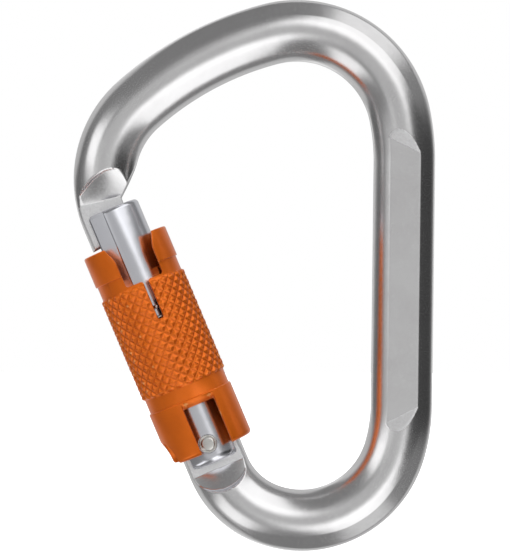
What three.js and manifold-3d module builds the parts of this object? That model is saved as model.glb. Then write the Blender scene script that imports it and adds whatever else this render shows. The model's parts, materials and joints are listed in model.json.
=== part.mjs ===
// A large pear-shaped locking carabiner: a forged aluminium bar with a hinged rod gate, and a
// spring-loaded sleeve on the gate that has to be turned before the gate can be opened.
//
// Millimetres, +Z up. The bar lies in the XZ plane and Y runs through its thickness. The origin is the
// inner crown of the top bend, where the carabiner hangs on its anchor.

import * as THREE from 'three';
import { mergeVertices } from 'three/addons/utils/BufferGeometryUtils.js';
import Module from 'manifold-3d';

const wasm = await Module();
wasm.setup();

// ---- Driving dimensions ---------------------------------------------------------------------------

const GAP = 0.3; // clearance between pieces that touch on the real carabiner

// The bar, and its centreline as two runs that both leave from the crown.
const BAR_RADIUS = 6.25;
const CROWN_BEND = 21.4;
const NOSE_RUN = [
  { bend: CROWN_BEND, turn: 14.6 },
  { bend: 65.5, turn: 26.9 },
  { bend: 20.4, turn: 71.3 },
  { straight: 8 },
];
const HINGE_RUN = [
  { bend: CROWN_BEND, turn: 78 },
  { bend: 45, turn: 12.7 },
  { straight: 49.2 },
  { bend: 35.3, turn: 15.3 },
  { bend: 19.8, turn: 96 },
  { bend: 17, turn: 45.2 },
  { straight: 5.7 },
];

// The flat panels on the front and back of the spine.
const PANEL_DEPTH = 5.45; // half thickness of the bar at the panels
const PANEL_MIDDLE = 21.5; // the spine's centreline
const PANEL_TOP = -15.7; // ends of the panels on that centreline
const PANEL_BOTTOM = -73;
const PANEL_END_SLOPE = 0.5; // the panels' ends slant, so that they are shorter on the outer side

// From here on, a top, bottom or other height is measured up the gate's axis from the hinge rivet.
const PLATE_HALF = 2.9; // half the thickness of the nose plate and of the hinge tang
const NOSE_SWEEP = 45.2; // radius about the rivet of the nose's lower end
const NOSE_ZONE_BOTTOM = 37; // below every part of the nose
const NOSE_FLAT_TOP = 53.6;
const NOSE_FACET_TOP = 59.2;
const NOSE_EDGE = 2.9; // inner edge of the nose plate, beside the gate's web
const NOSE_SHOULDER = 52.8;
const NOSE_SHOULDER_TOP = 57.6; // where the slanted shoulder runs out of the bar
const NOSE_SHOULDER_SLOPE = 1.15;
const TANG_RADIUS = 6;
const TANG_FLAT_BOTTOM = -5.4;
const TANG_FACET_BOTTOM = -10;
const CAM_HEIGHT = 3.6; // the step on the tang that the plunger pushes on

const GATE_RADIUS = 5.84;
const GATE_TOP = 51.5;
const GATE_BOTTOM = -4.1;
const GATE_EDGE = 0.7; // chamfer round both ends of the gate
const SLOT_HALF = PLATE_HALF + GAP;
const TOP_SLOT_BOTTOM = 41;
const TOP_SLOT_EDGE = 3.2; // inner side of the top slot: beyond it the gate is solid
const HINGE_SLOT_TOP = 6.7;

const RIVET_RADIUS = 1.5;
const RIVET_HEAD_RADIUS = 1.82;
const RIVET_HALF_LENGTH = 5.7;
const RIVET_HEAD_DEPTH = 0.8;

const PLUNGER_RADIUS = 1.1;
const PLUNGER_OFFSET = 1.6; // from the gate's axis towards the inside
const PLUNGER_TIP = CAM_HEIGHT + GAP;
const PLUNGER_TOP = 11;
const PLUNGER_BORE_TOP = 24;
const GATE_SPRING_WIRE = 0.22;
const GATE_SPRING_TURNS = 7;

const SLEEVE_BOTTOM = -1.5;
const COLLAR_TOP = 9.8;
const KNURL_BOTTOM = 12.9;
const KNURL_TOP = 34.6;
const EARS_BOTTOM = 37.7;
const SLEEVE_TOP = 44.1;
const COLLAR_RADIUS = 8.925;
const NECK_RADIUS = 8.6;
const KNURL_RADIUS = 9.05;
const SLEEVE_BORE = 7.7;
const LAND_BORE = GATE_RADIUS + GAP + 0.01;
const LAND_BOTTOM = 31;
const LAND_TOP = 37;
const SLEEVE_TURN = 8.5; // degrees that the cuts stand towards the inside when the sleeve is locked
const UNLOCK_TURN = 98.5;

const TOP_CUT_HALF = 4;
const TOP_CUT_BOTTOM = 35.3;
const TOP_CUT_FLARE = 41;
const TOP_CUT_MOUTH_HALF = 5.4;
const SLIT_HALF = 0.55;
const SLIT_BOTTOM = 27.1;
const WINDOW_HALF = 3.35;
const WINDOW_TOP = 8.7;
const WINDOW_TURN = 2.5;
const ARCH_RADIUS = 4.4;
const ARCH_HEIGHT = -0.7;

const SLEEVE_SPRING_RADIUS = 6.85;
const SLEEVE_SPRING_WIRE = 0.38;
const SLEEVE_SPRING_BOTTOM = 12.7;
const SLEEVE_SPRING_TOP = 29.6;
const SLEEVE_SPRING_TURNS = 8;
const SLEEVE_SPRING_TAIL = 8.5; // radius that its outer end reaches in the slit
const SLEEVE_SPRING_FOOT = 4.6; // radius that its inner end reaches in the gate

const STOP_PIN_HEIGHT = 34;
const STOP_PIN_RADIUS = 0.8;
const STOP_PIN_FOOT = 3.6;
const STOP_PIN_TIP = 7.1;

const RING_BOTTOM = 10.6;
const RING_TOP = 11.4;
const RING_INNER = 5.6;
const RING_OUTER = 7.4;
const RING_SPLIT_HALF = 0.8;

// ---- Materials ------------------------------------------------------------------------------------

const polished = new THREE.MeshStandardMaterial({ color: 0xc4c6c8, metalness: 1, roughness: 0.25 });
const brightRod = new THREE.MeshStandardMaterial({ color: 0xc8cad6, metalness: 1, roughness: 0.18 });
const anodised = new THREE.MeshStandardMaterial({ color: 0xc4580c, metalness: 0.7, roughness: 0.4 });
const steel = new THREE.MeshStandardMaterial({ color: 0xb0aea8, metalness: 1, roughness: 0.3 });

// ---- Solids ---------------------------------------------------------------------------------------

const ROUND = 40; // sides of the large round pieces
const SMALL_ROUND = 20;
const TINY_ROUND = 12;
const WIRE_HALF_SIDES = 3; // half the sides of a swept wire
const BEYOND = 20; // reach of a cutter that runs right through and past a piece
const MARGIN = 2; // reach of a cutter that stops just past a surface

function solid(geometry) {
  const bare = geometry.index ? geometry.clone() : geometry;
  bare.deleteAttribute('normal');
  bare.deleteAttribute('uv');
  const merged = mergeVertices(bare, 1e-4);
  return new wasm.Manifold(
    new wasm.Mesh({
      numProp: 3,
      vertProperties: new Float32Array(merged.attributes.position.array),
      triVerts: new Uint32Array(merged.index.array),
    }),
  );
}

function named(name, shape, material) {
  const result = shape.getMesh();
  const geometry = new THREE.BufferGeometry();
  geometry.setAttribute('position', new THREE.BufferAttribute(result.vertProperties, 3));
  geometry.setIndex(new THREE.BufferAttribute(result.triVerts, 1));
  geometry.computeVertexNormals();
  const mesh = new THREE.Mesh(geometry, material);
  mesh.name = name;
  return mesh;
}

const radians = THREE.MathUtils.degToRad;

// A box from its low and high corners.
function block(low, high) {
  const geometry = new THREE.BoxGeometry(high[0] - low[0], high[1] - low[1], high[2] - low[2]);
  geometry.translate((low[0] + high[0]) / 2, (low[1] + high[1]) / 2, (low[2] + high[2]) / 2);
  return solid(geometry);
}

// A solid turned about Z from [radius, height] pairs.
function turned(profile, sides = ROUND) {
  const points = profile.map(([radius, height]) => new THREE.Vector2(radius, height));
  return solid(new THREE.LatheGeometry(points, sides).rotateX(Math.PI / 2));
}

// A round rod along Z.
function rod(radius, bottom, top, sides = SMALL_ROUND) {
  return turned([[0, bottom], [radius, bottom], [radius, top], [0, top]], sides);
}

// A round rod along Y, from the XZ point given.
function crossRod(radius, near, far, x = 0, z = 0, sides = SMALL_ROUND) {
  return rod(radius, -far, -near, sides).rotate([90, 0, 0]).translate([x, 0, z]);
}

// A flat outline in XZ, made solid between two Y values.
function slab(shape, near, far, segments = 8) {
  const geometry = new THREE.ExtrudeGeometry(shape, {
    depth: far - near,
    bevelEnabled: false,
    curveSegments: segments,
  });
  return solid(geometry.rotateX(Math.PI / 2).translate(0, far, 0));
}

function outline(points) {
  return new THREE.Shape(points.map(([x, z]) => new THREE.Vector2(x, z)));
}

// A wire or bar of round section along a curve.
function swept(curve, radius, steps, halfSides) {
  const section = new THREE.Shape().absarc(0, 0, radius, 0, 2 * Math.PI);
  const options = { extrudePath: curve, steps, curveSegments: halfSides, bevelEnabled: false };
  return solid(new THREE.ExtrudeGeometry(section, options));
}

// ---- The bar's centreline -------------------------------------------------------------------------

function runLength(run) {
  return run.reduce((sum, { straight, bend, turn }) => sum + (straight ?? bend * radians(turn)), 0);
}

// The point and heading at a distance from the crown. Side is -1 towards the nose and 1 towards the hinge.
function alongRun(run, distance, side) {
  const point = new THREE.Vector2(0, BAR_RADIUS);
  let dip = 0; // how far the heading has turned down from level
  let left = distance;
  for (const { straight, bend, turn } of run) {
    const length = Math.min(left, straight ?? bend * radians(turn));
    if (straight) {
      point.x += length * Math.cos(dip);
      point.y -= length * Math.sin(dip);
    } else {
      const next = dip + length / bend;
      point.x += bend * (Math.sin(next) - Math.sin(dip));
      point.y -= bend * (Math.cos(dip) - Math.cos(next));
      dip = next;
    }
    left -= length;
  }
  return { x: side * point.x, z: point.y, dip };
}

class Centreline extends THREE.Curve {
  getPoint(t) {
    const noseLength = runLength(NOSE_RUN);
    const travelled = t * (noseLength + runLength(HINGE_RUN)) - noseLength;
    const { x, z } =
      travelled < 0 ? alongRun(NOSE_RUN, -travelled, -1) : alongRun(HINGE_RUN, travelled, 1);
    return new THREE.Vector3(x, 0, z);
  }
}

// The hinge end of the centreline is the rivet, and its heading there is the gate's axis.
const rivet = alongRun(HINGE_RUN, runLength(HINGE_RUN), 1);
const gateLean = rivet.dip - Math.PI * 1.5; // from upright, negative towards the outside

const gateGroup = new THREE.Group();
gateGroup.position.set(rivet.x, 0, rivet.z);
gateGroup.rotation.y = gateLean;
gateGroup.updateMatrix();
const gateFrame = gateGroup.matrix;

// ---- Body -----------------------------------------------------------------------------------------

// Thins the bar's end to a plate, with a facet that slopes back out to the full bar.
function plateCuts(end, flatEnd, facetEnd) {
  const out = Math.sign(facetEnd - flatEnd);
  const slope = (BAR_RADIUS - PLATE_HALF) / Math.abs(facetEnd - flatEnd);
  const past = BAR_RADIUS + MARGIN * slope;
  const shape = outline([
    [end, PLATE_HALF],
    [flatEnd, PLATE_HALF],
    [facetEnd + out * MARGIN, past],
    [facetEnd + out * MARGIN, past + MARGIN],
    [end, past + MARGIN],
  ]);
  const halfWidth = 14;
  const geometry = new THREE.ExtrudeGeometry(shape, { depth: 2 * halfWidth, bevelEnabled: false });
  geometry.translate(0, 0, -halfWidth);
  // Shape X becomes height, shape Y stays Y and the depth becomes the lateral direction.
  const toGate = new THREE.Matrix4().set(0, 0, -1, 0, 0, 1, 0, 0, 1, 0, 0, 0, 0, 0, 0, 1);
  const back = solid(geometry.applyMatrix4(toGate));
  return back.add(back.rotate([0, 0, 180]));
}

// Clears the inner side of the nose for the gate's web, with a slanted shoulder above it.
function noseShoulder() {
  const rise = NOSE_SHOULDER_TOP - NOSE_SHOULDER;
  const shape = outline([
    [NOSE_EDGE, NOSE_ZONE_BOTTOM],
    [BEYOND, NOSE_ZONE_BOTTOM],
    [BEYOND, NOSE_SHOULDER_TOP],
    [NOSE_EDGE + NOSE_SHOULDER_SLOPE * rise, NOSE_SHOULDER_TOP],
    [NOSE_EDGE, NOSE_SHOULDER],
  ]);
  return slab(shape, -BEYOND, BEYOND);
}

// Cuts the flat panel on the front of the spine.
function panelCut() {
  const halfWidth = BAR_RADIUS + MARGIN;
  const fall = halfWidth * PANEL_END_SLOPE;
  const shape = outline([
    [PANEL_MIDDLE - halfWidth, PANEL_TOP + fall],
    [PANEL_MIDDLE - halfWidth, PANEL_BOTTOM - fall],
    [PANEL_MIDDLE + halfWidth, PANEL_BOTTOM + fall],
    [PANEL_MIDDLE + halfWidth, PANEL_TOP - fall],
  ]);
  return slab(shape, -BAR_RADIUS - MARGIN, -PANEL_DEPTH);
}

function bodyShape() {
  const toWorld = gateFrame.elements;
  const barSteps = 100;
  const barHalfSides = 12;
  const sweepSides = 180;
  let shape = swept(new Centreline(), BAR_RADIUS, barSteps, barHalfSides);
  const disc = crossRod(TANG_RADIUS, -PLATE_HALF, PLATE_HALF, 0, 0, ROUND).transform(toWorld);
  const sweepHole = crossRod(NOSE_SWEEP, -BEYOND, BEYOND, 0, 0, sweepSides);
  const noseZone = block([-BEYOND, -BEYOND, NOSE_ZONE_BOTTOM], [BEYOND, BEYOND, GATE_TOP]);
  const cuts = [
    plateCuts(NOSE_ZONE_BOTTOM, NOSE_FLAT_TOP, NOSE_FACET_TOP),
    plateCuts(HINGE_SLOT_TOP, TANG_FLAT_BOTTOM, TANG_FACET_BOTTOM),
    sweepHole.intersect(noseZone),
    noseShoulder(),
    block([-GAP, -BEYOND, CAM_HEIGHT], [BEYOND, BEYOND, HINGE_SLOT_TOP + MARGIN]),
    crossRod(RIVET_RADIUS + GAP, -BEYOND, BEYOND),
  ];
  shape = shape.add(disc);
  for (const cut of cuts) {
    shape = shape.subtract(cut.transform(toWorld));
  }
  return shape.subtract(panelCut()).subtract(panelCut().rotate([0, 0, 180]).mirror([1, 0, 0]));
}

// ---- Gate and what it carries ---------------------------------------------------------------------

function gateShape() {
  let shape = turned([
    [0, GATE_BOTTOM],
    [GATE_RADIUS - GATE_EDGE, GATE_BOTTOM],
    [GATE_RADIUS, GATE_BOTTOM + GATE_EDGE],
    [GATE_RADIUS, RING_BOTTOM - GAP],
    [RING_INNER - GAP, RING_BOTTOM - GAP],
    [RING_INNER - GAP, RING_TOP + GAP],
    [GATE_RADIUS, RING_TOP + GAP],
    [GATE_RADIUS, GATE_TOP - GATE_EDGE],
    [GATE_RADIUS - GATE_EDGE, GATE_TOP],
    [0, GATE_TOP],
  ]);
  const headHole = RIVET_HEAD_RADIUS + GAP;
  const headSeat = RIVET_HALF_LENGTH - RIVET_HEAD_DEPTH - GAP;
  const bore = rod(PLUNGER_RADIUS + GAP, HINGE_SLOT_TOP - MARGIN, PLUNGER_BORE_TOP);
  const footHole = rod(SLEEVE_SPRING_WIRE + GAP, SLEEVE_SPRING_FOOT - GAP, BEYOND, TINY_ROUND);
  const cuts = [
    block([-BEYOND, -SLOT_HALF, TOP_SLOT_BOTTOM], [TOP_SLOT_EDGE, SLOT_HALF, GATE_TOP + MARGIN]),
    block([-BEYOND, -SLOT_HALF, GATE_BOTTOM - MARGIN], [BEYOND, SLOT_HALF, HINGE_SLOT_TOP]),
    crossRod(RIVET_RADIUS + GAP, -BEYOND, BEYOND),
    crossRod(headHole, -BEYOND, -headSeat),
    crossRod(headHole, headSeat, BEYOND),
    bore.translate([PLUNGER_OFFSET, 0, 0]),
    crossRod(STOP_PIN_RADIUS + GAP, STOP_PIN_FOOT - GAP, BEYOND, 0, STOP_PIN_HEIGHT),
    footHole.rotate([0, 90, 0]).translate([0, 0, SLEEVE_SPRING_BOTTOM]),
  ];
  for (const cut of cuts) {
    shape = shape.subtract(cut);
  }
  return shape;
}

function rivetShape() {
  const neck = RIVET_HALF_LENGTH - RIVET_HEAD_DEPTH;
  const profile = [
    [0, -RIVET_HALF_LENGTH],
    [RIVET_HEAD_RADIUS, -RIVET_HALF_LENGTH],
    [RIVET_HEAD_RADIUS, -neck],
    [RIVET_RADIUS, -neck],
    [RIVET_RADIUS, neck],
    [RIVET_HEAD_RADIUS, neck],
    [RIVET_HEAD_RADIUS, RIVET_HALF_LENGTH],
    [0, RIVET_HALF_LENGTH],
  ];
  return turned(profile, SMALL_ROUND).rotate([90, 0, 0]);
}

// A pin with a domed tip that rests on the tang's step.
function plungerShape() {
  const profile = [[0, PLUNGER_TIP]];
  const domeSteps = 4;
  for (let i = 1; i <= domeSteps; i += 1) {
    const angle = (i / domeSteps) * (Math.PI / 2);
    profile.push([
      PLUNGER_RADIUS * Math.sin(angle),
      PLUNGER_TIP + PLUNGER_RADIUS * (1 - Math.cos(angle)),
    ]);
  }
  profile.push([PLUNGER_RADIUS, PLUNGER_TOP], [0, PLUNGER_TOP]);
  return turned(profile, SMALL_ROUND).translate([PLUNGER_OFFSET, 0, 0]);
}

class Helix extends THREE.Curve {
  constructor(radius, bottom, top, turns) {
    super();
    Object.assign(this, { radius, bottom, top, turns });
  }

  getPoint(t) {
    const angle = 2 * Math.PI * this.turns * t;
    const height = this.bottom + (this.top - this.bottom) * t;
    return new THREE.Vector3(this.radius * Math.cos(angle), this.radius * Math.sin(angle), height);
  }
}

function gateSpringShape() {
  const radius = PLUNGER_RADIUS - GATE_SPRING_WIRE;
  const bottom = PLUNGER_TOP + GATE_SPRING_WIRE + GAP;
  const top = PLUNGER_BORE_TOP - GATE_SPRING_WIRE - GAP;
  const coil = new Helix(radius, bottom, top, GATE_SPRING_TURNS);
  const steps = GATE_SPRING_TURNS * 10;
  return swept(coil, GATE_SPRING_WIRE, steps, WIRE_HALF_SIDES).translate([PLUNGER_OFFSET, 0, 0]);
}

// The coil starts over the gate's foot hole, on the inner side, and ends at the sleeve's slit.
function sleeveSpringShape() {
  const slitAngle = (SLEEVE_TURN - 90) / 360;
  const turns = SLEEVE_SPRING_TURNS + slitAngle;
  const coil = new Helix(SLEEVE_SPRING_RADIUS, SLEEVE_SPRING_BOTTOM, SLEEVE_SPRING_TOP, turns);
  const foot = rod(SLEEVE_SPRING_WIRE, SLEEVE_SPRING_FOOT, SLEEVE_SPRING_RADIUS, TINY_ROUND);
  const tail = rod(SLEEVE_SPRING_WIRE, SLEEVE_SPRING_RADIUS, SLEEVE_SPRING_TAIL, TINY_ROUND);
  return swept(coil, SLEEVE_SPRING_WIRE, Math.round(turns * 14), WIRE_HALF_SIDES)
    .add(foot.rotate([0, 90, 0]).translate([0, 0, SLEEVE_SPRING_BOTTOM]))
    .add(tail.rotate([0, 90, 360 * slitAngle]).translate([0, 0, SLEEVE_SPRING_TOP]));
}

// A ring in the gate's groove, split so that it can be sprung over the gate.
function retainingRingShape() {
  const ring = turned([
    [RING_INNER, RING_BOTTOM],
    [RING_OUTER, RING_BOTTOM],
    [RING_OUTER, RING_TOP],
    [RING_INNER, RING_TOP],
    [RING_INNER, RING_BOTTOM],
  ]);
  const low = [-BEYOND, -RING_SPLIT_HALF, RING_BOTTOM - MARGIN];
  return ring.subtract(block(low, [0, RING_SPLIT_HALF, RING_TOP + MARGIN]));
}

// ---- Locking sleeve, in its own frame with the top cut facing -Y ------------------------------------

// Near the axis the cutters stop short of the far wall.
const WALL_NEAR = 3;

function topCut() {
  const mouth = SLEEVE_TOP + 1;
  const shape = new THREE.Shape();
  shape.moveTo(-TOP_CUT_HALF, TOP_CUT_BOTTOM);
  shape.lineTo(TOP_CUT_HALF, TOP_CUT_BOTTOM);
  shape.lineTo(TOP_CUT_HALF, TOP_CUT_FLARE);
  shape.quadraticCurveTo(TOP_CUT_HALF, TOP_CUT_FLARE + 2, TOP_CUT_MOUTH_HALF, mouth);
  shape.lineTo(-TOP_CUT_MOUTH_HALF, mouth);
  shape.quadraticCurveTo(-TOP_CUT_HALF, TOP_CUT_FLARE + 2, -TOP_CUT_HALF, TOP_CUT_FLARE);
  return slab(shape, -BEYOND, -WALL_NEAR);
}

function lowerWindow() {
  const low = [-WINDOW_HALF, -BEYOND, SLEEVE_BOTTOM - MARGIN];
  return block(low, [WINDOW_HALF, -WALL_NEAR, WINDOW_TOP]).rotate([0, 0, WINDOW_TURN]);
}

// The groove that the stop pin runs in, from the pin's locked place round to its unlocked place.
function stopGroove() {
  const reach = STOP_PIN_TIP + GAP;
  const spare = THREE.MathUtils.radToDeg((STOP_PIN_RADIUS + GAP) / STOP_PIN_TIP);
  const start = radians(90 - SLEEVE_TURN - spare);
  const end = radians(90 - SLEEVE_TURN + UNLOCK_TURN + spare);
  const shape = new THREE.Shape();
  shape.absarc(0, 0, reach, start, end, false);
  shape.absarc(0, 0, LAND_BORE - GAP, end, start, true);
  const depth = 2 * (STOP_PIN_RADIUS + GAP);
  const geometry = new THREE.ExtrudeGeometry(shape, { depth, bevelEnabled: false });
  return solid(geometry.translate(0, 0, STOP_PIN_HEIGHT - depth / 2));
}

function sleeveShape() {
  const corner = 0.8;
  let shape = turned([
    [SLEEVE_BORE, SLEEVE_BOTTOM],
    [COLLAR_RADIUS - corner, SLEEVE_BOTTOM],
    [COLLAR_RADIUS, SLEEVE_BOTTOM + corner],
    [COLLAR_RADIUS, COLLAR_TOP],
    [NECK_RADIUS, COLLAR_TOP],
    [NECK_RADIUS, KNURL_BOTTOM],
    [KNURL_RADIUS, KNURL_BOTTOM],
    [KNURL_RADIUS, KNURL_TOP],
    [NECK_RADIUS, KNURL_TOP],
    [NECK_RADIUS, EARS_BOTTOM],
    [COLLAR_RADIUS, EARS_BOTTOM],
    [COLLAR_RADIUS, SLEEVE_TOP],
    [SLEEVE_BORE, SLEEVE_TOP],
    [SLEEVE_BORE, LAND_TOP],
    [LAND_BORE, LAND_TOP],
    [LAND_BORE, LAND_BOTTOM],
    [SLEEVE_BORE, LAND_BOTTOM],
    [SLEEVE_BORE, SLEEVE_BOTTOM],
  ]);
  const arch = rod(ARCH_RADIUS, -BEYOND, -WALL_NEAR, ROUND).rotate([0, 90, 0]);
  const cuts = [
    topCut(),
    block([-SLIT_HALF, -BEYOND, SLIT_BOTTOM], [SLIT_HALF, -WALL_NEAR, TOP_CUT_BOTTOM + MARGIN]),
    lowerWindow(),
    lowerWindow().rotate([0, 0, 180]),
    arch.translate([0, 0, ARCH_HEIGHT]),
    stopGroove(),
  ];
  for (const cut of cuts) {
    shape = shape.subtract(cut);
  }
  return shape;
}

// ---- Assembly -------------------------------------------------------------------------------------

const sleeveMesh = named('locking_sleeve', sleeveShape(), anodised);
sleeveMesh.rotation.z = radians(SLEEVE_TURN);

const stopPin = crossRod(STOP_PIN_RADIUS, STOP_PIN_FOOT, STOP_PIN_TIP, 0, STOP_PIN_HEIGHT, TINY_ROUND);

gateGroup.add(
  named('gate', gateShape(), brightRod),
  named('hinge_rivet', rivetShape(), steel),
  named('gate_plunger', plungerShape(), steel),
  named('gate_spring', gateSpringShape(), steel),
  named('sleeve_spring', sleeveSpringShape(), steel),
  named('sleeve_stop_pin', stopPin, steel),
  named('sleeve_retaining_ring', retainingRingShape(), steel),
  sleeveMesh,
);

const carabiner = new THREE.Group();
carabiner.add(named('body', bodyShape(), polished), gateGroup);

export default carabiner;
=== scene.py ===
"""The looks of a pear-shaped locking carabiner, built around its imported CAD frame.

Shapes are worked out in millimetres and turned into metres when a mesh is made. The bar lies in the XZ
plane and Y runs through its thickness. The gate and all it carries are worked out in the gate's own
frame: r across the gate towards the inside, y through the thickness and w up the gate from the rivet.
"""

import json
import math

import bmesh
import bpy
import numpy as np
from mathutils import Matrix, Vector


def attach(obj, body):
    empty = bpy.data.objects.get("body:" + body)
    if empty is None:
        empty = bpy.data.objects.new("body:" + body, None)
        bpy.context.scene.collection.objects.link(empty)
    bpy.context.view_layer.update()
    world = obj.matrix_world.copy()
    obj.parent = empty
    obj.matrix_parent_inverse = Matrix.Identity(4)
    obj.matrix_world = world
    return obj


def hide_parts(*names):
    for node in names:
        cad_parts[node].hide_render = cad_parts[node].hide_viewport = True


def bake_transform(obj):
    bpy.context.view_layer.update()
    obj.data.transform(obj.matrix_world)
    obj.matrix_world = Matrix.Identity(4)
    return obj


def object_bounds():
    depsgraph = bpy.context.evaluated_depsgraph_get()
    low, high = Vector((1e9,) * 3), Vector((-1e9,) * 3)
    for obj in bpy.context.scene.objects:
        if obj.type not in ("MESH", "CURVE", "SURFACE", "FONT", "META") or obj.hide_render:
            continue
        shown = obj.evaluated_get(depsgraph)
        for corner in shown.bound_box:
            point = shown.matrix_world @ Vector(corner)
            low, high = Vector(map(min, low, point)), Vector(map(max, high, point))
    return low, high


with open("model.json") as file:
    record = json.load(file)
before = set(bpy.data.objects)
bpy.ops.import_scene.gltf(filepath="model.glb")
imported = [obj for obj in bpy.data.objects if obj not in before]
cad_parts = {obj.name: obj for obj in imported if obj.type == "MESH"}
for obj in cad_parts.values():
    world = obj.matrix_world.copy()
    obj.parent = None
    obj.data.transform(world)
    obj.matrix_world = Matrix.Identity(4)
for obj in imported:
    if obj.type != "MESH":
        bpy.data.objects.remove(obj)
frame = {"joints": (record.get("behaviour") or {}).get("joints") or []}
cad_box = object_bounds()

MM = 0.001
TAU = 2 * math.pi

# ---- The gate's frame, from the joints --------------------------------------------------------------

joints = {joint["name"]: joint for joint in frame["joints"]}
RIVET = np.array(joints["gate_swing"]["pos_m"]) / MM
UP_GATE = -np.array(joints["sleeve_turn"]["axis"])
ACROSS_GATE = np.array([UP_GATE[2], 0, -UP_GATE[0]])
THROUGH = np.array([0, 1, 0])

# ---- Driving dimensions, in millimetres -------------------------------------------------------------

BAR_RADIUS = 6.25
CROWN_BEND = 21.4
NOSE_RUN = [(CROWN_BEND, 14.6), (65.5, 26.9), (20.4, 71.3)]  # bends from the crown: radius and degrees
HINGE_TOP_RUN = [(CROWN_BEND, 78), (45, 12.7)]
SPINE_LENGTH = 49.2
HINGE_LOW_RUN = [(35.3, 15.3), (19.8, 96), (17, 45.2)]

FACET_MIDDLE = math.radians(45.5)  # from the bar's outer edge round to its front or back
FACET_HALF_ANGLE = math.radians(17.5)
FACET_SPANS = [(-36, -22, 20, 36), (90.5, 104, 122, 136)]  # distances: start, full width, full until, end

BAR_SIDES = 256
BAR_FINE_STEP = 0.2
BAR_STEP = 0.9

PLATE_HALF = 2.9
PLATE_EDGE = 0.22
PLATE_FILLET = 0.4
NOSE_SWEEP = 45.2
NOSE_FOLD = (-1.1, 53.5)
NOSE_FOLD_TILT = 7
NOSE_EDGE = 2.9
NOSE_SHOULDER = 52.8
NOSE_SHOULDER_SLOPE = 1.15
NOSE_MOON = (0.2, 7, 4.9, 0.42, 2.5)  # middle, half width, length, skew and dome's middle
TANG_RADIUS = 6
TANG_FOLD = -5.4
TANG_MOON = (0.2, 5.7, 4.2, 0, 0.2)
HALF_MOON_SLOPE = 0.52
HALF_MOON_DOME = 0.006
HALF_MOON_LIP = 1.6
NO_LIMIT = 99
CAM_HEIGHT = 3.6
CAM_WALL = -0.3
PANEL_DEPTH = 5.45
PANEL_EDGE = 0.12
PANEL_TOP = -17.1
PANEL_BOTTOM = -71.6
PANEL_MIDDLE = 21.5
PANEL_END_SLOPE = 0.5
PANEL_RAMP = 0.3

GATE_RADIUS = 5.84
GATE_TOP = 51.5
GATE_BOTTOM = -4.1
GATE_BEVEL = 1.2
SLOT_HALF = 3.2
TOP_SLOT_BOTTOM = 41
TOP_SLOT_EDGE = 3.2
HINGE_SLOT_TOP = 6.7
RIVET_HOLE = 1.62
RIVET_SEAT = 1.98
RIVET_SEAT_DEPTH = 4.7  # from the gate's middle to the seats' floors
PLUNGER_R = 1.6
PLUNGER_BORE = 1.4
PLUNGER_BORE_TOP = 24
RING_GROOVE = (5.3, 10.3, 11.7)  # floor's radius, bottom and top
FINGER_EDGE = -1.4
FINGER_DEPTH = 4.05
FINGER_BOTTOM = 33

SLEEVE_TURN = math.radians(8.5)
SLEEVE_BOTTOM = -1.5
COLLAR_TOP = 9.8
KNURL_BOTTOM = 12.9
KNURL_TOP = 34.6
EARS_BOTTOM = 37.7
SLEEVE_TOP = 44.1
COLLAR_RADIUS = 8.925
NECK_RADIUS = 8.6
KNURL_RADIUS = 9.05
KNURL_DEPTH = 0.36
KNURL_STARTS = 25
KNURL_PITCH = 2.2
SLEEVE_BORE = 7.7
LAND_BORE = 6.15
LAND_BOTTOM = 31
LAND_TOP = 37
SLIT_HALF = 0.55
SLIT_BOTTOM = 27.1
TOP_CUT_HALF = 4
TOP_CUT_BOTTOM = 35.3
TOP_CUT_FLARE = 41  # height where the cut starts to widen
WINDOW_HALF = 3.35
WINDOW_TOP = 8.7
WINDOW_TURN = math.radians(2.5)
ARCH_RADIUS = 4.4
ARCH_HEIGHT = -0.7
WALL_LAYERS = (0, 7.3, 7.6, 7.75, 7.9, 8.45, 8.6, 8.72, 8.82, 8.9, 8.96, 9.3, 99)  # a cutter's radii
UNLOCK_TURN = math.radians(98.5)
STOP_SPARE = math.radians(9)
STOP_PIN_HEIGHT = 34

COIL_RADIUS = 6.85
COIL_BOTTOM = 12.7
COIL_TOP = 29.6
COIL_TURNS = 8
COIL_WIRE = 0.38
CLOSING_RADIUS = 0.88
CLOSING_BOTTOM = 11.5
CLOSING_TOP = 23.5
CLOSING_TURNS = 9
CLOSING_WIRE = 0.2

# ---- Mesh helpers -----------------------------------------------------------------------------------


def from_gate(points):
    """Points (r, y, w) in the gate's frame, in the row frame."""
    points = np.asarray(points, float)
    across, through, up = points[:, 0:1], points[:, 1:2], points[:, 2:3]
    return RIVET + across * ACROSS_GATE + through * THROUGH + up * UP_GATE


def to_gate(points):
    """The r and w of points in the row frame."""
    offset = points - RIVET
    return offset @ ACROSS_GATE, offset @ UP_GATE


def turned_about_gate(points, angle):
    """Points in the gate's frame, turned about its axis."""
    points = np.array(points, float)
    r, y = points[:, 0].copy(), points[:, 1].copy()
    points[:, 0] = r * math.cos(angle) - y * math.sin(angle)
    points[:, 1] = r * math.sin(angle) + y * math.cos(angle)
    return points


def mesh_object(name, points, faces, sharp_angle=35):
    """A smooth-shaded object from points in millimetres in the row frame."""
    mesh = bpy.data.meshes.new(name)
    mesh.from_pydata((np.asarray(points) * MM).tolist(), [], faces)
    tidy(mesh, sharp_angle)
    piece = bpy.data.objects.new(name, mesh)
    bpy.context.scene.collection.objects.link(piece)
    return piece


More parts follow.
